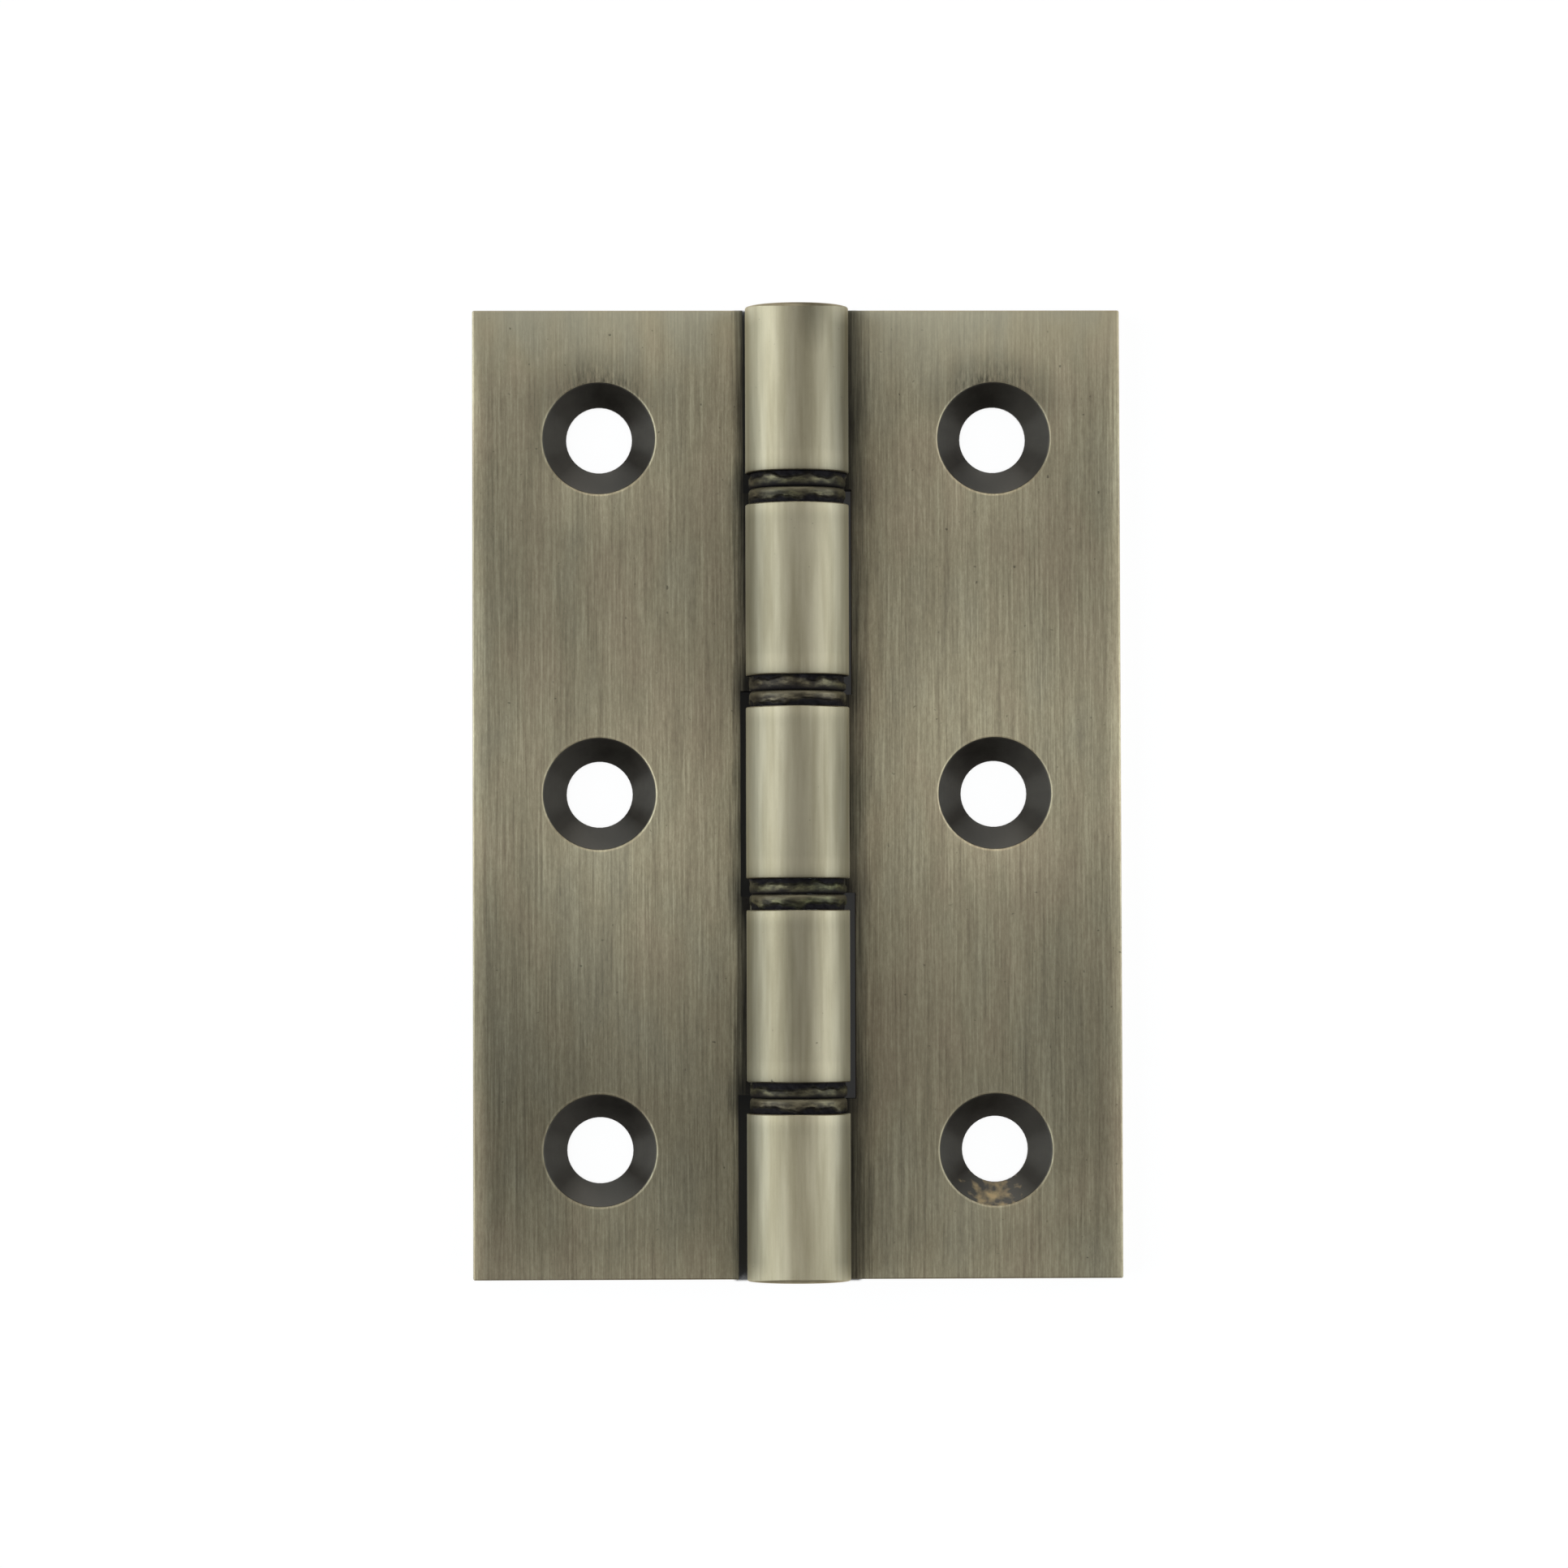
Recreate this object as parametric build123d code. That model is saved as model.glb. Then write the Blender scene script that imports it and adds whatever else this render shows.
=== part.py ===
from build123d import *
import os
from math import radians, sqrt, tan

# Washered butt hinge, drawn in solid section, laid open flat on its back. Millimetres.
# The origin is the middle of the hinge, on its back faces. X runs across the leaves,
# Y runs along the pin, and Z points out of the countersunk faces.

# Leaves and barrel
hinge_length = 76.2
open_width = 51.0
leaf_thickness = 2.2
barrel_diameter = 8.1
edge_break = 0.16             # round on the outer edges of the leaves
barrel_end_round = 0.46       # round on the crest of the barrel's two ends
knuckle_end_break = 0.12      # round on the knuckle ends that face a washer

# Knuckles, numbered from the top: odd ones on the frame leaf, even ones on the door leaf
knuckle_count = 5
end_knuckle_trim = 0.35       # the end knuckles are this much shorter than the others
leaf_play = 0.3               # gap along the pin between the tongues of the two leaves
first_notch_gap = 0.17        # from the first knuckle to the edge of the notch beside it
notch_gap_step = 0.12         # each next notch is milled this much wider

# Washers, two in each gap between knuckles
washer_thickness = 1.18
washer_play = 0.03            # free space beside each washer, along the pin
washer_inset = 0.24           # the washers' rims lie this far inside the barrel
washer_blank_round = 0.16     # rounded edge that blanking leaves on one side
washer_burr_break = 0.05      # small break on the washer's other side
facing_margin = 0.03          # the washers' space is cut this much wider than the barrel
tongue_nose = 0.8             # thickness of the blunt end that the cut leaves on a tongue

# Pin, and the plugs that close its bore
pin_diameter = 4.0
running_clearance = 0.05      # on the radius, between the pin and what turns on it
pin_end_chamfer = 0.35
plug_length = 3.0
plug_rim_break = 0.1

# Countersunk screw holes, in one row on each leaf
screws_per_leaf = 3
screw_end_distance = 10.1     # first and last hole from the ends of the leaf
screw_edge_distance = 9.95    # all holes from the leaf's outer edge
screw_hole_diameter = 5.2
countersink_diameter = 8.9
countersink_angle = 90
rim_break = 0.1               # flat break round the countersink's rim

# Worked out from the sizes above
overrun = 1.0                 # how far a cut runs past the faces that it opens
round_overlap = 1.04          # an end round's arc is this much larger, to cross both faces
barrel_radius = barrel_diameter / 2
leaf_reach = open_width / 2
pin_radius = pin_diameter / 2
running_radius = pin_radius + running_clearance
washer_radius = barrel_radius - washer_inset
facing_radius = barrel_radius + facing_margin
washer_gap = 2 * washer_thickness + 3 * washer_play
all_gaps = (knuckle_count - 1) * washer_gap
knuckle_length = (hinge_length - all_gaps + 2 * end_knuckle_trim) / knuckle_count
knuckle_pitch = knuckle_length + washer_gap
gap_centres = [(knuckle_count / 2 - n) * knuckle_pitch for n in range(1, knuckle_count)]
station_edges = [hinge_length / 2, *gap_centres, -hinge_length / 2]


def along_pin(radius, low, high):
    """A round bar on the pin's axis, from low to high Y."""
    bar = Rotation(-90, 0, 0) * Cylinder(radius, high - low)
    return Pos(0, (low + high) / 2, barrel_radius) * bar


def block(x_range, y_range, z_range):
    """A box between three pairs of limits."""
    low, high = zip(x_range, y_range, z_range)
    size = [b - a for a, b in zip(low, high)]
    return Pos(*low) * Box(*size, align=(Align.MIN, Align.MIN, Align.MIN))


def drawn_bar():
    """The drawn bar of the right leaf: a plate whose back runs into the barrel as a tangent."""
    crease = sqrt(barrel_radius**2 - (barrel_radius - leaf_thickness) ** 2)
    crest = (0, barrel_diameter)
    back = Line((0, 0), (leaf_reach, 0))
    tip = Line((leaf_reach, 0), (leaf_reach, leaf_thickness))
    front = Line((leaf_reach, leaf_thickness), (crease, leaf_thickness))
    barrel = ThreePointArc((crease, leaf_thickness), crest, (0, 0))
    section = Plane.XZ * make_face(back + tip + front + barrel)
    bar = extrude(section, amount=hinge_length / 2, both=True)
    tangent_and_crease = bar.edges().filter_by(Axis.Y).sort_by(Axis.X)[:2]
    return fillet(bar.edges() - tangent_and_crease, edge_break)


def end_round(y, outward, size, fade=0.0):
    """Waste round a knuckle's end at y. A fade lets the round die out towards the back."""
    arc_centre = Pos(barrel_radius + fade - size, y - outward * size)
    corner = Rectangle(size + overrun, size + overrun, align=(Align.MIN, Align.MIN))
    waste = corner - Circle(round_overlap * size)
    if outward < 0:
        waste = mirror(waste, Plane.XZ)
    ring = Pos(0, 0, barrel_radius - fade) * revolve(arc_centre * waste, Axis.Y)
    return ring - block((0, leaf_reach), (y - overrun, y + overrun), (-overrun, leaf_thickness))


def notch(number):
    """Space in a leaf for the other leaf's knuckle of this number."""
    half_width = barrel_radius + first_notch_gap + (number - 1) * notch_gap_step
    y_range = (station_edges[number] - leaf_play / 2, station_edges[number - 1] + leaf_play / 2)
    return block((-half_width, half_width), y_range, (-overrun, barrel_diameter + overrun))


def washer_space(y):
    """Cut round the pin for a pair of washers. It scallops the tongues and blunts their ends."""
    y_range = (y - washer_gap / 2, y + washer_gap / 2)
    nose = sqrt(facing_radius**2 - (barrel_radius - tongue_nose) ** 2)
    return along_pin(facing_radius, *y_range) + block((-nose, nose), y_range, (-overrun, barrel_radius))


def screw_hole():
    """Countersunk hole on the Z axis, in a leaf whose back is at Z 0."""
    hole, rim = screw_hole_diameter / 2, countersink_diameter / 2
    slope = tan(radians(countersink_angle / 2))
    cone_bottom = leaf_thickness - (rim - hole) / slope
    top = leaf_thickness + overrun
    flare = rim + 3 * rim_break
    outline = Polyline(
        (0, -overrun),
        (hole, -overrun),
        (hole, cone_bottom),
        (rim - rim_break * slope, leaf_thickness - rim_break),
        (flare, leaf_thickness + rim_break),
        (flare, top),
        (0, top),
        close=True,
    )
    return revolve(Plane.XZ * make_face(outline), Axis.Z)


def leaf(own_knuckles, bore_radius):
    """The right leaf with these knuckles. Its notches leave room for the others."""
    body = drawn_bar()
    for number in range(1, knuckle_count + 1):
        if number not in own_knuckles:
            body -= notch(number)
            continue
        high, low = station_edges[number - 1], station_edges[number]
        if number > 1:
            high -= washer_gap / 2
            body -= end_round(high, 1, knuckle_end_break)
        else:
            body -= end_round(high, 1, barrel_end_round, barrel_end_round / 2)
        if number < knuckle_count:
            low += washer_gap / 2
            body -= end_round(low, -1, knuckle_end_break)
        else:
            body -= end_round(low, -1, barrel_end_round, barrel_end_round / 2)
    for y in gap_centres:
        body -= washer_space(y)
    body -= along_pin(bore_radius, -hinge_length / 2 - overrun, hinge_length / 2 + overrun)
    screw_spacing = (hinge_length - 2 * screw_end_distance) / (screws_per_leaf - 1)
    for n in range(screws_per_leaf):
        y = screw_end_distance - hinge_length / 2 + n * screw_spacing
        body -= Pos(leaf_reach - screw_edge_distance, y, 0) * screw_hole()
    return body


def outer_rims(disc):
    """The largest circles of a disc that lies flat, from the lowest up."""
    circles = disc.edges().filter_by(GeomType.CIRCLE)
    return circles.group_by(SortBy.RADIUS)[-1].sort_by(Axis.Z)


def washer(y, rounded_side):
    """A blanked washer at y. Its rounded edge faces up the pin for +1 and down for -1."""
    disc = Cylinder(washer_radius, washer_thickness) - Cylinder(running_radius, washer_thickness)
    disc = fillet(outer_rims(disc)[-1], washer_blank_round)
    disc = chamfer(outer_rims(disc)[0], washer_burr_break)
    return Pos(0, y, barrel_radius) * Rotation(-90 * rounded_side, 0, 0) * disc


def pin():
    """The steel pin, between the two plugs."""
    half = hinge_length / 2 - plug_length
    bar = along_pin(pin_radius, -half, half)
    return chamfer(bar.edges().filter_by(GeomType.CIRCLE), pin_end_chamfer)


def plug(side):
    """A plug in the bore's top end for side +1, or its bottom end for -1."""
    outer, inner = hinge_length / 2, hinge_length / 2 - plug_length
    bar = along_pin(pin_radius, *sorted((side * outer, side * inner)))
    rim = bar.edges().filter_by(GeomType.CIRCLE).sort_by(Axis.Y)[-1 if side > 0 else 0]
    return chamfer(rim, plug_rim_break)


frame_knuckles = range(1, knuckle_count + 1, 2)
door_knuckles = range(2, knuckle_count + 1, 2)
parts = {
    "frame_leaf": leaf(frame_knuckles, pin_radius),
    "door_leaf": mirror(leaf(door_knuckles, running_radius), Plane.YZ),
    "hinge_pin": pin(),
    "pin_plug_top": plug(1),
    "pin_plug_bottom": plug(-1),
}
washer_offset = (washer_thickness + washer_play) / 2
for number, y in enumerate(gap_centres, 1):
    parts[f"washer_{number}_upper"] = washer(y + washer_offset, -1)
    parts[f"washer_{number}_lower"] = washer(y - washer_offset, -1)

os.makedirs("parts", exist_ok=True)
for name, shape in parts.items():
    export_step(shape, f"parts/{name}.step")
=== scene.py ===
from math import pi, radians

import bpy
from mathutils import Euler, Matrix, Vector


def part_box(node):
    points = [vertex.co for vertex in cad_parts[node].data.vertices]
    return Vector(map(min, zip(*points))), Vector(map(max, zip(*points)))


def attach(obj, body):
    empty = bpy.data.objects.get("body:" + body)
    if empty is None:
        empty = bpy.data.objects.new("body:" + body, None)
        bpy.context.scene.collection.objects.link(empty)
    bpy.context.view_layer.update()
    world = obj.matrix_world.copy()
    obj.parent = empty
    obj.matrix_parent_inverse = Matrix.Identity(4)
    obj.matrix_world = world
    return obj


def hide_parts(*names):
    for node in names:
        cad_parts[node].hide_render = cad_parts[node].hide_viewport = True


# Washered butt hinge in an antique nickel finish, laid open on a white table.
# Metres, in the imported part's own frame: X across the leaves, Y along the pin, Z up.
# Patterns and the washers' sections are worked out in millimetres.

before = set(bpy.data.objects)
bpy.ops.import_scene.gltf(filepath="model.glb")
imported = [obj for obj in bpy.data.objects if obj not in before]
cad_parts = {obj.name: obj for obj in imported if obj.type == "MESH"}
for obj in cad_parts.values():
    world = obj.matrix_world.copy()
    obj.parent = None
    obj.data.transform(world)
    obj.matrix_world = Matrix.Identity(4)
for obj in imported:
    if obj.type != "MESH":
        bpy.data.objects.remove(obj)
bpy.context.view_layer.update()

MM = 0.001
LEAVES = ("frame_leaf", "door_leaf")
PLUGS = ("pin_plug_top", "pin_plug_bottom")
WASHERS = [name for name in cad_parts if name.startswith("washer_")]

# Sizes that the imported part's boxes don't give, in millimetres
leaf_thickness = 2.2
screw_x = 15.55               # rows of screw holes, from the pin
screw_pitch = 28.0            # holes along a row
countersink_radius = 4.45
knuckle_pitch = 15.87         # from one pair of washers to the next
running_clearance = 0.05      # on the radius, between the pin and a washer
burr_reach = 0.25             # how far a washer's burr stands out
table_drop = 0.05             # from the leaves' backs down to the table

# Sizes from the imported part's boxes, in millimetres
pin_low, pin_high = (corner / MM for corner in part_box("hinge_pin"))
washer_low, washer_high = (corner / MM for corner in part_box(WASHERS[0]))
leaf_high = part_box("frame_leaf")[1] / MM
axis_height = (pin_low.z + pin_high.z) / 2
barrel_radius = axis_height
half_length = leaf_high.y
half_width = leaf_high.x
washer_radius = (washer_high.z - washer_low.z) / 2
washer_thickness = washer_high.y - washer_low.y
washer_bore = (pin_high.z - pin_low.z) / 2 + running_clearance


def linear(hex_colour):
    """An sRGB colour such as 827D67 as linear red, green, blue and an alpha of 1."""
    parts = [int(hex_colour[i:i + 2], 16) / 255 for i in (0, 2, 4)]
    return [c / 12.92 if c <= 0.04045 else ((c + 0.055) / 1.055) ** 2.4 for c in parts] + [1.0]


def add(tree, kind, inputs=None, **settings):
    """Adds a node. An input is a value, a socket, or a node, whose first output in use is meant."""
    node = tree.nodes.new(kind)
    for name, value in settings.items():
        setattr(node, name, value)
    for name, value in (inputs or {}).items():
        if isinstance(value, bpy.types.Node):
            value = next(socket for socket in value.outputs if socket.enabled)
        if isinstance(value, bpy.types.NodeSocket):
            tree.links.new(value, node.inputs[name])
        else:
            node.inputs[name].default_value = value
    return node


def colour_steps(ramp, *steps):
    """Sets a colour ramp from pairs of a place and an sRGB colour."""
    elements = ramp.color_ramp.elements
    while len(elements) < len(steps):
        elements.new(1.0)
    for element, (place, colour) in zip(elements, steps):
        element.position = place
        element.color = linear(colour)


def follow_curve(tree, value, start, end, *points):
    """Levels from 0 to 1 that a value has from start to end. A point is a place, 0 to 1, and a level."""
    place = add(tree, "ShaderNodeMapRange", {0: value, 1: start, 2: end})
    node = add(tree, "ShaderNodeFloatCurve", {"Value": place})
    curve = node.mapping.curves[0]
    for point in points[1:-1]:
        curve.points.new(*point)
    curve.points[0].location = points[0]
    curve.points[-1].location = points[-1]
    node.mapping.update()
    return node


def new_material(name):
    """An empty material, its node tree and its surface output."""
    material = bpy.data.materials.new(name)
    material.use_nodes = True
    tree = material.node_tree
    tree.nodes.clear()
    return material, tree, tree.nodes.new("ShaderNodeOutputMaterial")


def place_in_mm(tree):
    """Object coordinates in millimetres: the vector, and its x, y and z."""
    where = add(tree, "ShaderNodeTexCoord").outputs["Object"]
    mm = add(tree, "ShaderNodeVectorMath", {0: where, "Scale": 1 / MM}, operation="SCALE")
    return mm, *add(tree, "ShaderNodeSeparateXYZ", {0: mm}).outputs


def streaks(tree, mm, across, along, seed, detail=3.0):
    """Streaks along the pin: so many to a millimetre across them, and along them."""
    spacing = (across, along, across)
    squeezed = add(tree, "ShaderNodeVectorMath", {0: mm, 1: spacing}, operation="MULTIPLY")
    moved = add(tree, "ShaderNodeVectorMath", {0: squeezed, 1: (seed, seed, seed)}, operation="ADD")
    return add(tree, "ShaderNodeTexNoise",
               {"Vector": moved, "Scale": 1.0, "Detail": detail, "Roughness": 0.72})


class Places:
    """Where a point of the hinge is, in millimetres, and how it faces. The nickel follows these."""

    def __init__(self, tree):
        self.mm, self.x, self.y, self.z = place_in_mm(tree)
        self.side = add(tree, "ShaderNodeMath", {0: self.x}, operation="ABSOLUTE")
        self.from_middle = add(tree, "ShaderNodeMath", {0: self.y}, operation="ABSOLUTE")
        self.top_end = add(tree, "ShaderNodeMapRange",
                           {0: self.y, 1: half_length - 7.0, 2: half_length})
        self.front = add(tree, "ShaderNodeMapRange",
                         {0: self.z, 1: leaf_thickness - 0.3, 2: leaf_thickness - 0.1})
        normal = add(tree, "ShaderNodeTexCoord").outputs["Normal"]
        self.facing = add(tree, "ShaderNodeSeparateXYZ", {0: normal}).outputs
        self.endwise = add(tree, "ShaderNodeMath", {0: self.facing["Y"]}, operation="ABSOLUTE")
        self.find_pin(tree)
        self.find_hole(tree)
        self.find_washers(tree)

    def find_pin(self, tree):
        """Distance from the pin's axis, and whether the point is outside the barrel."""
        level = add(tree, "ShaderNodeVectorMath", {0: self.mm, 1: (1, 0, 1)}, operation="MULTIPLY")
        self.from_pin = add(tree, "ShaderNodeVectorMath",
                            {0: level, 1: (0, 0, axis_height)}, operation="DISTANCE")
        self.on_leaf = add(tree, "ShaderNodeMapRange",
                           {0: self.from_pin, 1: barrel_radius + 0.02, 2: barrel_radius + 0.15})

    def find_hole(self, tree):
        """Distance from the nearest screw hole's axis, and whether the point is above or below it."""
        half = screw_pitch / 2
        hole_x = add(tree, "ShaderNodeMath", {0: self.side, 1: screw_x}, operation="SUBTRACT")
        hole_y = add(tree, "ShaderNodeMath", {0: self.y, 1: half, 2: -half}, operation="WRAP")
        from_axis = add(tree, "ShaderNodeCombineXYZ", {0: hole_x, 1: hole_y})
        self.from_hole = add(tree, "ShaderNodeVectorMath", {0: from_axis}, operation="LENGTH")
        rise = add(tree, "ShaderNodeMath", {0: hole_y, 1: self.from_hole}, operation="DIVIDE")
        self.above_hole = add(tree, "ShaderNodeMapRange", {0: rise, 1: 0.2, 2: 1.0})
        self.below_hole = add(tree, "ShaderNodeMapRange", {0: rise, 1: -0.3, 2: -0.9})

    def find_washers(self, tree):
        """Distance along the pin from the nearest pair of washers. The barrel's ends count as far away."""
        half, last = knuckle_pitch / 2, 2 * knuckle_pitch
        inside = add(tree, "ShaderNodeMapRange", {0: self.y, 1: -last, 2: last, 3: -last, 4: last})
        shifted = add(tree, "ShaderNodeMath", {0: inside, 1: -half}, operation="ADD")
        self.from_gap = add(tree, "ShaderNodeMath", {0: shifted, 1: half, 2: -half}, operation="WRAP")


def brush_lines(tree, at):
    """Lines of the brush, which ran along the pin, and in shorter strokes across it on the sawn ends.
    Real ones are about 0.05 mm wide, and these are drawn at 0.2 mm so that they show."""
    sawn = add(tree, "ShaderNodeMath", {0: at.endwise, 1: 0.8}, operation="GREATER_THAN")
    shorter = add(tree, "ShaderNodeMath", {0: at.x, 1: 4.0}, operation="MULTIPLY")
    turned = add(tree, "ShaderNodeCombineXYZ", {0: at.y, 1: shorter, 2: at.z})
    brush = add(tree, "ShaderNodeMix", {"Factor": sawn, "A": at.mm, "B": turned}, data_type="VECTOR")
    fine = streaks(tree, brush, 5.0, 0.11, 0.0)
    short = streaks(tree, brush, 6.0, 1.0, 20.0)
    nicks = streaks(tree, brush, 7.0, 3.0, 60.0)
    broad = streaks(tree, at.mm, 1.3, 0.05, 40.0)
    scratch = streaks(tree, brush, 4.0, 0.09, 75.0, detail=1.0)
    pale = add(tree, "ShaderNodeMapRange", {0: scratch, 1: 0.6, 2: 0.68})
    dark = add(tree, "ShaderNodeMapRange", {0: scratch, 1: 0.4, 2: 0.34})
    shares = ((fine, 0.38), (short, 0.25), (nicks, 0.16), (broad, 0.21), (pale, 0.05), (dark, -0.05))
    tone = 0.0
    for lines, share in shares:
        tone = add(tree, "ShaderNodeMath", {0: lines, 1: share, 2: tone}, operation="MULTIPLY_ADD")
    brushed = add(tree, "ShaderNodeValToRGB", {0: tone})
    colour_steps(brushed, (0.38, "655D4C"), (0.5, "807862"), (0.62, "9B947B"))
    return fine, short, brushed


def leaf_metal(tree, at, brushed, cloud):
    """The leaves' metal, with green-grey and brown-grey patches of the plating, some 10 mm long.
    The top end is smoother and greener."""
    patch = add(tree, "ShaderNodeMapRange", {0: cloud, 1: 0.35, 2: 0.65})
    patch = add(tree, "ShaderNodeMath", {0: at.top_end, 1: -0.5, 2: patch}, operation="MULTIPLY_ADD")
    patches = add(tree, "ShaderNodeValToRGB", {0: patch})
    colour_steps(patches, (0.0, "807B69"), (0.5, "837A64"), (1.0, "8A7B66"))
    smooth = add(tree, "ShaderNodeMapRange", {0: at.top_end, 3: 0.3, 4: 0.75})
    leaf = add(tree, "ShaderNodeMix", {"Factor": smooth, "A": brushed, "B": patches}, data_type="RGBA")

    # Painted light and shade of the room's reflection: palest across the middle, lower down on the door
    # leaf, with painted shade in one place at its foot
    lean = follow_curve(tree, at.x, -25, 25, (0, 0.0), (0.33, 0.7), (0.45, 0.6), (0.55, 0.1), (1, 0.1))
    along = add(tree, "ShaderNodeMath", {0: lean, 1: 9.0, 2: at.y}, operation="MULTIPLY_ADD")
    along = follow_curve(tree, along, -30, 30, (0, 0.37), (0.17, 0.34), (0.33, 0.41), (0.5, 0.56),
                         (0.6, 0.58), (0.7, 0.52), (0.85, 0.445), (1, 0.48))
    across = follow_curve(tree, at.x, -25, 25, (0, 0.41), (0.12, 0.44), (0.25, 0.51), (0.36, 0.49),
                          (0.64, 0.54), (0.75, 0.56), (0.88, 0.5), (1, 0.46))
    painted_shade_place = (-19, -27, leaf_thickness)
    painted_shade_spot = add(tree, "ShaderNodeVectorMath", {0: at.mm, 1: painted_shade_place}, operation="DISTANCE")
    painted_shade_spot = add(tree, "ShaderNodeMapRange", {0: painted_shade_spot, 1: 4.0, 2: 15.0, 3: 0.87, 4: 1.0})
    pale = along
    for share in (across, painted_shade_spot):
        pale = add(tree, "ShaderNodeMath", {0: pale, 1: share}, operation="MULTIPLY")

    # Paler along the outer edges and at both ends, rubbed pale round the countersinks, with a painted
    # highlight on their lower rims and painted sheen spreading below them
    edge = add(tree, "ShaderNodeMapRange",
               {0: at.side, 1: half_width - 1.2, 2: half_width - 0.1, 4: 1.4})
    foot = add(tree, "ShaderNodeMapRange", {0: at.y, 1: 4.0 - half_length, 2: 1.0 - half_length, 4: 0.25})
    rim_wear_and_highlight = add(tree, "ShaderNodeMapRange", {0: at.below_hole, 3: 0.7, 4: 1.3})
    rim_wear_and_highlight = add(tree, "ShaderNodeMapRange",
              {0: at.from_hole, 1: countersink_radius + 0.05, 2: countersink_radius + 0.2, 3: rim_wear_and_highlight, 4: 0.0})
    rim_wear_and_highlight = add(tree, "ShaderNodeMath", {0: rim_wear_and_highlight, 1: at.front}, operation="MULTIPLY")
    painted_sheen = add(tree, "ShaderNodeMapRange",
              {0: at.from_hole, 1: countersink_radius, 2: countersink_radius + 4.0, 3: 0.4, 4: 0.0})
    painted_sheen = add(tree, "ShaderNodeMath", {0: painted_sheen, 1: at.below_hole}, operation="MULTIPLY")
    pale_edges_and_highlight = edge
    for mark in (at.top_end, foot, rim_wear_and_highlight, painted_sheen):
        pale_edges_and_highlight = add(tree, "ShaderNodeMath", {0: pale_edges_and_highlight, 1: mark}, operation="MAXIMUM")
    pale = add(tree, "ShaderNodeMath", {0: pale_edges_and_highlight, 1: 0.1, 2: pale}, operation="MULTIPLY_ADD")
    pale = add(tree, "ShaderNodeMath", {0: pale, 1: 4.15}, operation="MULTIPLY")
    return add(tree, "ShaderNodeVectorMath", {0: leaf, "Scale": pale}, operation="SCALE")


def barrel_metal(tree, at, brushed):
    """The barrel's metal, polished once more, which leaves soft brown and grey bands, with a painted cool
    reflection on its flanks.
    """
    soft = streaks(tree, at.mm, 0.7, 0.06, 7.0, detail=2.0)
    polished = add(tree, "ShaderNodeValToRGB", {0: soft})
    colour_steps(polished, (0.38, "7D755F"), (0.5, "867E68"), (0.62, "8F8771"))
    barrel = add(tree, "ShaderNodeMix", {"Factor": 0.15, "A": polished, "B": brushed}, data_type="RGBA")
    # Painted cool reflection of the side lights on the barrel's flanks
    flank = add(tree, "ShaderNodeMapRange", {0: at.side, 1: 2.2, 2: 3.6, 4: 0.5})
    barrel = add(tree, "ShaderNodeMix", {"Factor": flank, "A": barrel, "B": linear("E8F2FF")},
                 data_type="RGBA", blend_type="MULTIPLY")

    # Painted shade on each knuckle's lower end, and a painted highlight on its upper end and on the
    # barrel's end corners
    pale = follow_curve(tree, at.from_gap, -3, 3, (0, 0.5), (0.1, 0.5), (0.29, 0.6), (0.5, 0.5),
                        (0.69, 0.28), (0.76, 0.44), (0.9, 0.52), (1, 0.5))
    pale = add(tree, "ShaderNodeMath", {0: pale, 1: 2.0}, operation="MULTIPLY")
    corner = add(tree, "ShaderNodeMapRange",
                 {0: at.from_middle, 1: half_length - 1.6, 2: half_length - 0.2})
    pale = add(tree, "ShaderNodeMath", {0: corner, 1: flank, 2: pale}, operation="MULTIPLY_ADD")

    # Painted highlight and shade, where hand polishing left the knuckles reflecting unevenly: some paler
    # to the left or right, and some duller along the middle
    lefts = follow_curve(tree, at.y, -half_length, half_length, (0, 0.49), (0.08, 0.49), (0.29, 0.4),
                         (0.5, 0.545), (0.71, 0.38), (0.92, 0.68), (1, 0.68))
    lefts = add(tree, "ShaderNodeMath", {0: lefts, 1: 0.5}, operation="SUBTRACT")
    aside = add(tree, "ShaderNodeMath", {0: at.x, 1: -0.42}, operation="MULTIPLY")
    pale = add(tree, "ShaderNodeMath", {0: lefts, 1: aside, 2: pale}, operation="MULTIPLY_ADD")
    middle = follow_curve(tree, at.y, -half_length, half_length, (0, 0.67), (0.08, 0.67), (0.29, 0.24),
                          (0.5, 0.37), (0.71, 0.465), (0.92, 0.42), (1, 0.42))
    middle = add(tree, "ShaderNodeMath", {0: middle, 1: 0.5}, operation="SUBTRACT")
    crest = add(tree, "ShaderNodeMapRange", {0: at.side, 1: 0.6, 2: 1.8, 3: 1.0, 4: 0.0})
    pale = add(tree, "ShaderNodeMath", {0: middle, 1: crest, 2: pale}, operation="MULTIPLY_ADD")

    # Darker in a patch at the barrel's top end, longer along the pin than across it
    dark_top_patch = add(tree, "ShaderNodeVectorMath", {0: at.mm, 1: (0.7, 0.28, 0)}, operation="MULTIPLY")
    dark_top_patch = add(tree, "ShaderNodeVectorMath", {0: dark_top_patch, 1: (0.85, 10.7, 0)}, operation="DISTANCE")
    dark_top_patch = add(tree, "ShaderNodeMapRange", {0: dark_top_patch, 1: 0.3, 2: 1.2, 3: -0.35, 4: 0.0})
    pale = add(tree, "ShaderNodeMath", {0: pale, 1: dark_top_patch}, operation="ADD")
    return add(tree, "ShaderNodeVectorMath", {0: barrel, "Scale": pale}, operation="SCALE")


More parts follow.
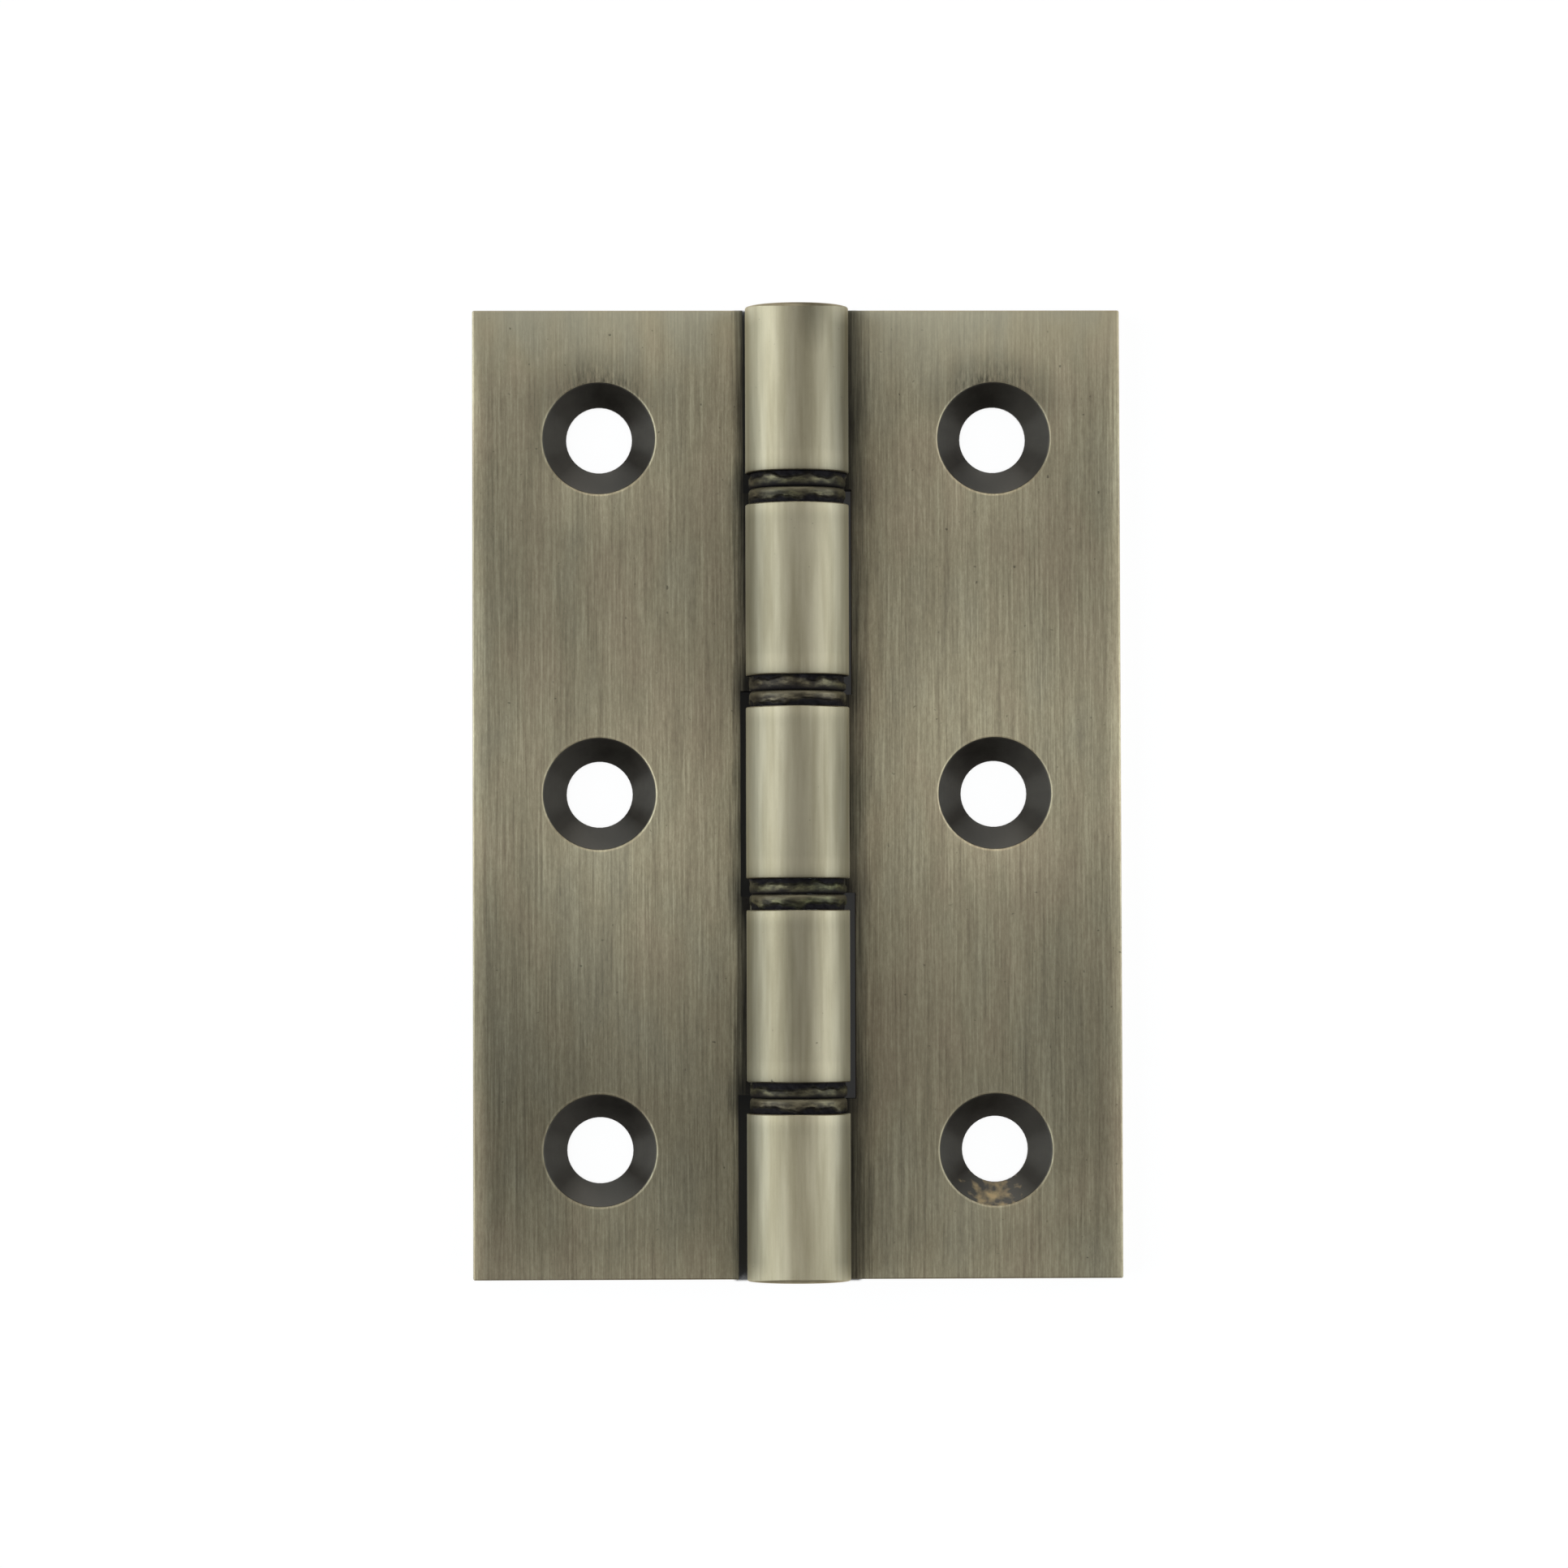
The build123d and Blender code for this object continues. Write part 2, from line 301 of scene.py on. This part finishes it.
def black_beside_barrel(tree, at, fine, cloud):
    """Black patina left beside the barrel, with painted shade in the corner it makes with the leaf. It
    thins out along the brush lines, over 1 mm on the door leaf and
    2 mm on the frame leaf, and spreads a little wider beside the washers, where painted shade falls
    between the parts."""
    bulge = add(tree, "ShaderNodeMath", {0: at.from_gap}, operation="ABSOLUTE")
    bulge = add(tree, "ShaderNodeMapRange", {0: bulge, 1: 0.5, 2: 3.0, 3: 0.25, 4: 0.0})
    reach = add(tree, "ShaderNodeMath", {0: cloud, 1: 1.4, 2: at.from_pin}, operation="MULTIPLY_ADD")
    reach = add(tree, "ShaderNodeMath", {0: reach, 1: bulge}, operation="SUBTRACT")
    reach = add(tree, "ShaderNodeMath", {0: fine, 1: 1.4, 2: reach}, operation="MULTIPLY_ADD")
    full = add(tree, "ShaderNodeMapRange",
               {0: at.x, 1: -1.0, 2: 1.0, 3: barrel_radius + 1.75, 4: barrel_radius + 1.55})
    gone = add(tree, "ShaderNodeMapRange",
               {0: at.x, 1: -1.0, 2: 1.0, 3: barrel_radius + 2.9, 4: barrel_radius + 3.5})
    beside = add(tree, "ShaderNodeMapRange", {0: reach, 1: full, 2: gone, 3: 1.0, 4: 0.0})
    for limit in (at.on_leaf, at.front):
        beside = add(tree, "ShaderNodeMath", {0: beside, 1: limit}, operation="MULTIPLY")
    return beside


def black_in_countersinks(tree, at):
    """Black left in the countersinks. It is rubbed off a little further at their lower rims."""
    reach = add(tree, "ShaderNodeMath", {0: at.below_hole, 1: 0.05, 2: at.from_hole},
                operation="MULTIPLY_ADD")
    cone = add(tree, "ShaderNodeMapRange",
               {0: reach, 1: countersink_radius - 0.04, 2: countersink_radius + 0.02, 3: 1.0, 4: 0.0})
    sloping = add(tree, "ShaderNodeMath", {0: at.facing["Z"]}, operation="ABSOLUTE")
    sloping = add(tree, "ShaderNodeMapRange", {0: sloping, 1: 0.96, 2: 0.92})
    return add(tree, "ShaderNodeMath", {0: cone, 1: sloping}, operation="MULTIPLY")


def smudges_above_countersinks(tree, at, short):
    """Smudges of black above the top row of countersinks."""
    near = add(tree, "ShaderNodeMapRange",
               {0: at.from_hole, 1: countersink_radius, 2: countersink_radius + 3.0, 3: 1.0, 4: 0.0})
    top_row = add(tree, "ShaderNodeMapRange",
                  {0: at.y, 1: screw_pitch / 2, 2: screw_pitch / 2 + 4.0, 4: 0.9})
    smudge = add(tree, "ShaderNodeMapRange", {0: short, 1: 0.35, 2: 0.75})
    for limit in (near, at.above_hole, top_row, at.front):
        smudge = add(tree, "ShaderNodeMath", {0: smudge, 1: limit}, operation="MULTIPLY")
    return smudge


def black_on_inner_ends(tree, at):
    """Black on the knuckles' ends that face a washer."""
    square = add(tree, "ShaderNodeMapRange", {0: at.endwise, 1: 0.75, 2: 0.95})
    inner = add(tree, "ShaderNodeMapRange",
                {0: at.from_middle, 1: half_length - 0.8, 2: half_length - 0.9})
    return add(tree, "ShaderNodeMath", {0: square, 1: inner}, operation="MULTIPLY")


def patina_and_painted_light(tree, at, cone):
    """The black's colour, with painted light on the countersinks' lower flanks, and a little on those that
    face the pin."""
    mottle = add(tree, "ShaderNodeTexNoise", {"Vector": at.mm, "Scale": 0.9, "Detail": 3.0})
    black = add(tree, "ShaderNodeValToRGB", {0: mottle})
    colour_steps(black, (0.35, "100E0C"), (0.65, "1E1C18"))
    lower = add(tree, "ShaderNodeMapRange", {0: at.facing["Y"], 1: 0.4, 2: 0.7})
    outer = add(tree, "ShaderNodeMath", {0: at.facing["X"], 1: at.x}, operation="MULTIPLY")
    outer = add(tree, "ShaderNodeMapRange", {0: outer, 1: 0.0, 2: -8.0, 4: 0.25})
    painted_light_on_flanks = add(tree, "ShaderNodeMath", {0: lower, 1: outer}, operation="MAXIMUM")
    painted_light_on_flanks = add(tree, "ShaderNodeMath", {0: painted_light_on_flanks, 1: cone}, operation="MULTIPLY")
    return add(tree, "ShaderNodeMix", {"Factor": painted_light_on_flanks, "A": black, "B": linear("605C55")},
               data_type="RGBA")


# Antique nickel on drawn brass: plated, blackened, then brushed back along the pin.
# The eye gets a warm grey metal with fine straight lines, and black where the brush can't reach.
def antique_nickel():
    material, tree, output = new_material("antique_nickel_brushed_on_brass")
    at = Places(tree)
    fine, short, brushed = brush_lines(tree, at)
    cloud = streaks(tree, at.mm, 0.16, 0.07, 90.0, detail=2.0)
    leaf = leaf_metal(tree, at, brushed, cloud)
    barrel = barrel_metal(tree, at, brushed)
    metal = add(tree, "ShaderNodeMix", {"Factor": at.on_leaf, "A": barrel, "B": leaf}, data_type="RGBA")

    # All the black, with tiny pits. Beside the barrel and the washers it is partly painted shade.
    cone = black_in_countersinks(tree, at)
    inner_ends = black_on_inner_ends(tree, at)
    beside = black_beside_barrel(tree, at, fine, cloud)
    smudges = smudges_above_countersinks(tree, at, short)
    pits = add(tree, "ShaderNodeTexNoise", {"Vector": at.mm, "Scale": 3.0, "Detail": 0.0})
    pits = add(tree, "ShaderNodeMapRange", {0: pits, 1: 0.84, 2: 0.92, 4: 0.5})
    black = cone
    for mark in (inner_ends, beside, smudges, pits):
        black = add(tree, "ShaderNodeMath", {0: black, 1: mark}, operation="MAXIMUM")
    colour = add(tree, "ShaderNodeMix", {"Factor": black, "A": metal, "B": patina_and_painted_light(tree, at, cone)},
                 data_type="RGBA")
    metallic = add(tree, "ShaderNodeMapRange", {0: black, 3: 1.0, 4: 0.1})

    # Tan metal where a screw head rubbed the black off one countersink
    rubbed_place = (15.2, -31.6, 1.3)
    scuffs = add(tree, "ShaderNodeTexNoise", {"Vector": at.mm, "Scale": 1.5, "Detail": 2.0})
    away = add(tree, "ShaderNodeVectorMath", {0: at.mm, 1: rubbed_place}, operation="DISTANCE")
    rub = add(tree, "ShaderNodeMath", {0: away, 1: -0.17, 2: scuffs}, operation="MULTIPLY_ADD")
    rub = add(tree, "ShaderNodeMapRange", {0: rub, 1: 0.2, 2: 0.6, 4: 0.9})
    rub = add(tree, "ShaderNodeMath", {0: rub, 1: cone}, operation="MULTIPLY")
    colour = add(tree, "ShaderNodeMix", {"Factor": rub, "A": colour, "B": linear("D8BA88")},
                 data_type="RGBA")

    # Gloss stretched round the pin, across the brush lines, which are deepest on the leaves
    roughness = add(tree, "ShaderNodeMapRange", {0: at.on_leaf, 3: 0.4, 4: 0.42})
    roughness = add(tree, "ShaderNodeMath", {0: cone, 1: -0.04, 2: roughness}, operation="MULTIPLY_ADD")
    shine = add(tree, "ShaderNodeMapRange", {0: cone, 3: 0.15, 4: 0.4})
    depth = add(tree, "ShaderNodeMapRange", {0: at.on_leaf, 3: 0.05, 4: 0.25})
    bump = add(tree, "ShaderNodeBump", {"Strength": depth, "Distance": 0.03 * MM, "Height": fine})
    round_pin = add(tree, "ShaderNodeTangent", direction_type="RADIAL", axis="Y")
    shader = add(tree, "ShaderNodeBsdfPrincipled",
                 {"Base Color": colour, "Metallic": metallic, "Roughness": roughness, "Normal": bump,
                  "Anisotropic": 0.8, "Tangent": round_pin, "Specular IOR Level": shine,
                  "Specular Tint": linear("FFF2DD")})
    tree.links.new(shader.outputs[0], output.inputs["Surface"])
    return material


# Phosphor bronze: blanked from sheet and blackened with the leaves.
# The rims stay dark, with brown and olive places. They have a dull land where the punch slid,
# and a rougher, darker band where the metal tore, darkened by blackening and by painted shade. The rounded
# edges get painted light and shade.
def blanked_bronze():
    material, tree, output = new_material("phosphor_bronze_blackened")
    mm = place_in_mm(tree)[0]
    flat = add(tree, "ShaderNodeVectorMath", {0: mm, 1: (0.8, 2.0, 0.8)}, operation="MULTIPLY")
    grain = add(tree, "ShaderNodeTexNoise",
                {"Vector": flat, "Scale": 1.0, "Detail": 4.0, "Roughness": 0.6})
    land = add(tree, "ShaderNodeValToRGB", {0: grain})
    colour_steps(land, (0.36, "201B14"), (0.5, "3A3428"), (0.64, "5F5744"))
    wide = add(tree, "ShaderNodeVectorMath", {0: mm, 1: (0.1, 0.35, 0.1)}, operation="MULTIPLY")
    olive = add(tree, "ShaderNodeTexNoise", {"Vector": wide, "Scale": 1.0, "Detail": 1.0})
    olive = add(tree, "ShaderNodeMapRange", {0: olive, 1: 0.4, 2: 0.6})
    land = add(tree, "ShaderNodeMix", {"Factor": olive, "A": land, "B": linear("EEFFE4")},
               data_type="RGBA", blend_type="MULTIPLY")

    # Soot and painted light run from -1, a painted highlight, to 1, sooty and in painted shade
    soot_shade_and_highlight = add(tree, "ShaderNodeAttribute", attribute_name="soot_shade_and_highlight").outputs["Fac"]
    pale_edges_and_highlight = add(tree, "ShaderNodeMapRange", {0: soot_shade_and_highlight, 1: 0.0, 2: -1.0})
    colour = add(tree, "ShaderNodeMix", {"Factor": pale_edges_and_highlight, "A": land, "B": linear("898068")},
                 data_type="RGBA")
    colour = add(tree, "ShaderNodeMix", {"Factor": soot_shade_and_highlight, "A": colour, "B": linear("141113")},
                 data_type="RGBA")
    roughness = add(tree, "ShaderNodeMapRange", {0: soot_shade_and_highlight, 3: 0.4, 4: 0.7})
    pits = add(tree, "ShaderNodeTexNoise", {"Vector": mm, "Scale": 4.0, "Detail": 3.0})
    bump = add(tree, "ShaderNodeBump", {"Strength": 0.5, "Distance": 0.04 * MM, "Height": pits})
    shader = add(tree, "ShaderNodeBsdfPrincipled",
                 {"Base Color": colour, "Metallic": 0.7, "Roughness": roughness, "Normal": bump,
                  "Specular IOR Level": 0.3})
    tree.links.new(shader.outputs[0], output.inputs["Surface"])
    return material


# Drawn steel rod: bright grey, with fine lines along its length.
def drawn_steel():
    material, tree, output = new_material("drawn_steel_rod")
    lines = streaks(tree, place_in_mm(tree)[0], 6.0, 0.1, 3.0)
    colour = add(tree, "ShaderNodeValToRGB", {0: lines})
    colour_steps(colour, (0.3, "8A8A88"), (0.7, "BDBDBA"))
    bump = add(tree, "ShaderNodeBump", {"Strength": 0.2, "Distance": 0.02 * MM, "Height": lines})
    shader = add(tree, "ShaderNodeBsdfPrincipled",
                 {"Base Color": colour, "Metallic": 1.0, "Roughness": 0.32, "Normal": bump})
    tree.links.new(shader.outputs[0], output.inputs["Surface"])
    return material


def table_top():
    """White table, with the real shadow. The camera and reflections see it plain white,
    apart from the dark close under the barrel and a tenth of that shadow."""
    material, tree, output = new_material("white_table")
    x, y = place_in_mm(tree)[1:3]
    # Painted shade on the table close under the barrel, where it shows through the notches
    across = add(tree, "ShaderNodeMath", {0: x}, operation="ABSOLUTE")
    across = add(tree, "ShaderNodeMapRange",
                 {0: across, 1: barrel_radius + 0.7, 2: barrel_radius + 1.2, 3: 1.0, 4: 0.0})
    along = add(tree, "ShaderNodeMath", {0: y}, operation="ABSOLUTE")
    along = add(tree, "ShaderNodeMapRange",
                {0: along, 1: half_length + 0.1, 2: half_length + 0.35, 3: 1.0, 4: 0.0})
    under = add(tree, "ShaderNodeMath", {0: across, 1: along}, operation="MULTIPLY")

    # How much of the sky is open, with a little more light through the notches of the frame leaf
    close = add(tree, "ShaderNodeAmbientOcclusion", {"Distance": 4.5 * MM}, samples=8)
    most = add(tree, "ShaderNodeMapRange", {0: under, 3: 0.42, 4: 1.0})
    least = add(tree, "ShaderNodeMapRange", {0: under, 3: 0.10, 4: 0.65})
    leak = add(tree, "ShaderNodeMapRange", {0: x, 1: -1.0, 2: 1.0, 3: 0.007, 4: 0.03})
    open_sky = add(tree, "ShaderNodeMapRange", {0: close.outputs["AO"], 1: least, 2: most, 3: leak})
    open_sky = add(tree, "ShaderNodeMath", {0: open_sky, 1: 1.06}, operation="MULTIPLY")
    white = add(tree, "ShaderNodeEmission", {"Strength": open_sky})
    paint = add(tree, "ShaderNodeBsdfDiffuse", {"Color": linear("F4F4F2")})
    shown = add(tree, "ShaderNodeMixShader", {0: 0.1, 1: white, 2: paint})
    ray = add(tree, "ShaderNodeLightPath").outputs
    direct = ray["Is Camera Ray"]
    for kind in ("Is Glossy Ray", "Is Transmission Ray"):
        direct = add(tree, "ShaderNodeMath", {0: direct, 1: ray[kind]}, operation="MAXIMUM")
    surface = add(tree, "ShaderNodeMixShader", {0: direct, 1: paint, 2: shown})
    tree.links.new(surface.outputs[0], output.inputs["Surface"])
    return material


def washer_tree():
    """Geometry nodes for a blanked washer, made lying flat, in millimetres, and then turned onto the pin.
    Punching leaves a rounded edge on one side, and a torn band on the other that leans in."""
    tree = bpy.data.node_groups.new("blanked_washer", "GeometryNodeTree")
    sizes = ("Radius", "Bore", "Thickness", "Torn side", "Burr angle", "Burr reach", "Seed", "Along", "Up")
    for name in sizes:
        tree.interface.new_socket(name, in_out="INPUT", socket_type="NodeSocketFloat")
    tree.interface.new_socket("Material", in_out="INPUT", socket_type="NodeSocketMaterial")
    tree.interface.new_socket("Geometry", in_out="OUTPUT", socket_type="NodeSocketGeometry")
    given = add(tree, "NodeGroupInput").outputs

    # The plain ring: a rectangle swept round, cut fine along its rim
    wide = add(tree, "ShaderNodeMath", {0: given["Radius"], 1: given["Bore"]}, operation="SUBTRACT")
    middle = add(tree, "ShaderNodeMath", {0: given["Radius"], 1: given["Bore"]}, operation="ADD")
    middle = add(tree, "ShaderNodeMath", {0: middle, 1: 0.5}, operation="MULTIPLY")
    section = add(tree, "GeometryNodeCurvePrimitiveQuadrilateral",
                  {"Width": wide, "Height": given["Thickness"]})
    section = add(tree, "GeometryNodeSubdivideCurve", {"Curve": section, "Cuts": 14})
    circle = add(tree, "GeometryNodeCurvePrimitiveCircle", {"Resolution": 200, "Radius": middle})
    ring = add(tree, "GeometryNodeCurveToMesh", {"Curve": circle, "Profile Curve": section})

    # Where each point is: outward from the pin, and from the rounded edge to the torn one
    point = add(tree, "GeometryNodeInputPosition")
    parts = add(tree, "ShaderNodeSeparateXYZ", {0: point})
    level = add(tree, "ShaderNodeVectorMath", {0: point, 1: (1, 1, 0)}, operation="MULTIPLY")
    outward = add(tree, "ShaderNodeVectorMath", {0: level}, operation="NORMALIZE")
    reach = add(tree, "ShaderNodeVectorMath", {0: level}, operation="LENGTH")
    at_rim = add(tree, "ShaderNodeMapRange", {0: reach, 1: given["Bore"], 2: given["Radius"]},
                 interpolation_type="SMOOTHSTEP")
    sided = add(tree, "ShaderNodeMath", {0: parts.outputs["Z"], 1: given["Torn side"]},
                operation="MULTIPLY")
    across = add(tree, "ShaderNodeMath", {0: sided, 1: given["Thickness"]}, operation="DIVIDE")
    across = add(tree, "ShaderNodeMath", {0: across, 1: 0.5}, operation="ADD")

    # The torn band's edge wanders along the rim
    wander = add(tree, "ShaderNodeTexNoise",
                 {"Vector": level, "W": given["Seed"], "Scale": 0.6, "Detail": 2.0},
                 noise_dimensions="4D")
    wander = add(tree, "ShaderNodeMapRange", {0: wander, 1: 0.36, 2: 0.66, 3: -0.28, 4: 0.3})
    shift = add(tree, "ShaderNodeMath", {0: wander, 1: across, 2: across}, operation="MULTIPLY_ADD")
    torn = add(tree, "ShaderNodeMapRange", {0: shift, 1: 0.6, 2: 0.68})

    # How far the rim is drawn in: the rounded edge, the straight land, and the rough torn band
    inward = follow_curve(tree, shift, 0, 1, (0, 0.22), (0.05, 0.12), (0.15, 0.04), (0.3, 0), (0.6, 0),
                          (0.68, 0.07), (1, 0.16))
    rough = add(tree, "ShaderNodeTexNoise",
                {"Vector": point, "W": given["Seed"], "Scale": 2.6, "Detail": 2.0},
                noise_dimensions="4D")
    rough = add(tree, "ShaderNodeMapRange", {0: rough, 1: 0.35, 2: 0.65, 3: 0.0, 4: 0.1})
    rough = add(tree, "ShaderNodeMath", {0: rough, 1: torn}, operation="MULTIPLY")
    inward = add(tree, "ShaderNodeMath", {0: inward, 1: rough}, operation="ADD")

    # A burr stands out at one place
    ahead = add(tree, "ShaderNodeCombineXYZ", {0: given["Radius"]})
    burr = add(tree, "ShaderNodeVectorRotate", {"Vector": ahead, "Angle": given["Burr angle"]},
               rotation_type="Z_AXIS")
    burr = add(tree, "ShaderNodeVectorMath", {0: level, 1: burr}, operation="DISTANCE")
    burr = add(tree, "ShaderNodeMapRange", {0: burr, 1: 0.0, 2: 0.45, 3: given["Burr reach"], 4: 0.0},
               interpolation_type="SMOOTHSTEP")
    burr = add(tree, "ShaderNodeMath", {0: burr, 1: torn}, operation="MULTIPLY")
    move = add(tree, "ShaderNodeMath", {0: burr, 1: inward}, operation="SUBTRACT")
    move = add(tree, "ShaderNodeMath", {0: move, 1: at_rim}, operation="MULTIPLY")
    offset = add(tree, "ShaderNodeVectorMath", {0: outward, "Scale": move}, operation="SCALE")

    # Soot and painted shade in the torn band. A rounded edge that faces down the pin gets painted shade,
    # and else a painted highlight.
    shaded = add(tree, "ShaderNodeMapRange", {0: given["Torn side"], 1: -1.0, 2: 1.0, 3: -0.5, 4: 1.0})
    rolled = add(tree, "ShaderNodeMapRange", {0: shift, 1: 0.05, 2: 0.4, 3: shaded, 4: 0.0})
    torn_soot_and_shade = add(tree, "ShaderNodeMapRange", {0: shift, 1: 0.5, 2: 0.8})
    soot_shade_and_highlight = add(tree, "ShaderNodeMath", {0: torn_soot_and_shade, 1: rolled}, operation="ADD")
    soot_shade_and_highlight = add(tree, "ShaderNodeMath", {0: soot_shade_and_highlight, 1: at_rim}, operation="MULTIPLY")
    marked = add(tree, "GeometryNodeStoreNamedAttribute",
                 {"Geometry": ring, "Name": "soot_shade_and_highlight", "Value": soot_shade_and_highlight})
    shaped = add(tree, "GeometryNodeSetPosition", {"Geometry": marked, "Offset": offset})

    # Turned onto the pin, moved to its place and brought to metres
    upright = Euler((radians(-90), 0, 0))
    place = add(tree, "ShaderNodeCombineXYZ", {1: given["Along"], 2: given["Up"]})
    turned = add(tree, "GeometryNodeTransform", {"Geometry": shaped, "Rotation": upright})
    placed = add(tree, "GeometryNodeTransform", {"Geometry": turned, "Translation": place})
    scaled = add(tree, "GeometryNodeTransform", {"Geometry": placed, "Scale": (MM, MM, MM)})
    real = add(tree, "GeometryNodeRealizeInstances", {"Geometry": scaled})
    covered = add(tree, "GeometryNodeSetMaterial", {"Geometry": real, "Material": given["Material"]})
    add(tree, "NodeGroupOutput", {"Geometry": covered})
    return tree


def make_piece(name, tree, values):
    """Runs a geometry tree with named values and keeps its result as a plain mesh."""
    maker = bpy.data.objects.new(name + "_maker", bpy.data.meshes.new(name))
    bpy.context.scene.collection.objects.link(maker)
    modifier = maker.modifiers.new("maker", "NODES")
    modifier.node_group = tree
    for socket in tree.interface.items_tree:
        if socket.in_out == "INPUT":
            modifier[socket.identifier] = values[socket.name]
    bpy.context.view_layer.update()
    evaluated = maker.evaluated_get(bpy.context.evaluated_depsgraph_get())
    mesh = bpy.data.meshes.new_from_object(evaluated)
    bpy.data.objects.remove(maker)
    piece = bpy.data.objects.new(name, mesh)
    bpy.context.scene.collection.objects.link(piece)
    mesh.shade_smooth()
    mesh.set_sharp_from_angle(angle=radians(40))
    return piece


def dress(node, material):
    """Gives a CAD node's object this material alone."""
    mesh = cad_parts[node].data
    mesh.materials.clear()
    mesh.materials.append(material)


def softbox(name, turn, distance, size, radiance, colour):
    """An area lamp that looks at the hinge, turned about X and Y from straight overhead."""
    lamp = bpy.data.lights.new(name, "AREA")
    lamp.shape = "RECTANGLE"
    lamp.size, lamp.size_y = size
    lamp.energy = radiance * pi * lamp.size * lamp.size_y
    lamp.color = linear(colour)[:3]
    stand = bpy.data.objects.new(name, lamp)
    stand.rotation_euler = Euler([radians(angle) for angle in turn])
    stand.location = stand.rotation_euler.to_matrix() @ Vector((0, 0, distance))
    bpy.context.scene.collection.objects.link(stand)


def white_room():
    """White surroundings. Reflections see them fade to dark at the horizon below the picture,
    and greyer straight above, where the camera stands."""
    world = bpy.data.worlds.new("white_room")
    world.use_nodes = True
    tree = world.node_tree
    tree.nodes.clear()
    ray = add(tree, "ShaderNodeLightPath").outputs
    outward = add(tree, "ShaderNodeTexCoord").outputs["Generated"]
    toward = add(tree, "ShaderNodeSeparateXYZ", {0: outward}).outputs
    fade = add(tree, "ShaderNodeMapRange", {0: toward["Y"], 1: -1.0, 2: -0.75, 3: 0.1, 4: 1.0})
    overhead = add(tree, "ShaderNodeMapRange", {0: toward["Z"], 1: 0.85, 2: 0.97, 3: 1.0, 4: 0.75})
    mirrored = fade
    for share in (overhead, ray["Is Glossy Ray"]):
        mirrored = add(tree, "ShaderNodeMath", {0: mirrored, 1: share}, operation="MULTIPLY")
    base_light = 0.1
    strength = ray["Is Camera Ray"]
    for level in (ray["Is Transmission Ray"], mirrored, base_light):
        strength = add(tree, "ShaderNodeMath", {0: strength, 1: level}, operation="MAXIMUM")
    background = add(tree, "ShaderNodeBackground", {"Strength": strength})
    surface = tree.nodes.new("ShaderNodeOutputWorld").inputs["Surface"]
    tree.links.new(background.outputs[0], surface)
    return world


nickel = antique_nickel()
bronze = blanked_bronze()
steel = drawn_steel()
for node in LEAVES + PLUGS:
    dress(node, nickel)
dress("hinge_pin", steel)

# Washers, each with its torn side towards the knuckle beside it and its burr somewhere else
burr_turn = 137.5             # degrees from one washer's burr to the next one's
seed_step = 3.7
blanking = washer_tree()
for number, node in enumerate(WASHERS):
    low, high = (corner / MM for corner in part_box(node))
    values = {
        "Radius": washer_radius,
        "Bore": washer_bore,
        "Thickness": washer_thickness,
        "Torn side": 1.0 if node.endswith("upper") else -1.0,
        "Burr angle": radians(burr_turn * (number - 1)),
        "Burr reach": burr_reach,
        "Seed": seed_step * number,
        "Along": (low.y + high.y) / 2,
        "Up": axis_height,
        "Material": bronze,
    }
    piece = make_piece(node.replace("washer", "blanked_washer"), blanking, values)
    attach(piece, node)
    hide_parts(node)

# Table, a little below the hinge
table_reach = 1.5             # metres from its middle to its sides
corners = [(x * table_reach, y * table_reach, 0) for x, y in ((-1, -1), (1, -1), (1, 1), (-1, 1))]
mesh = bpy.data.meshes.new("table")
mesh.from_pydata(corners, [], [(0, 1, 2, 3)])
table = bpy.data.objects.new("table", mesh)
table.location.z = -table_drop * MM
mesh.materials.append(table_top())
bpy.context.scene.collection.objects.link(table)

# Soft boxes and walls left and right, cooler than the room, and a weak lamp towards the top of the picture
bpy.context.scene.world = white_room()
cool, plain = "E6F3FF", "FFFFFF"
softbox("left_box", (0, -51, 0), 0.8, (0.5, 0.8), 2.6, cool)
softbox("left_wall", (0, -88, 0), 0.8, (0.9, 0.9), 2.6, cool)
softbox("right_box", (0, 50, 0), 0.8, (0.45, 0.8), 1.45, cool)
softbox("right_wall", (0, 88, 0), 0.8, (0.9, 0.9), 2.4, cool)
softbox("top_lamp", (-65, 0, 0), 0.9, (0.8, 0.5), 0.9, plain)

# Camera, almost straight above the hinge
camera = bpy.data.objects.new("camera", bpy.data.cameras.new("camera"))
camera.location = (-9.9 * MM, -11.85 * MM, 433 * MM)
camera.rotation_euler = [radians(angle) for angle in (1.68, -1.173, -0.168)]
camera.data.sensor_width = 36
camera.data.lens = 125.9
camera.data.clip_end = 10
bpy.context.scene.collection.objects.link(camera)
bpy.context.scene.camera = camera
bpy.context.scene.view_settings.view_transform = "Standard"
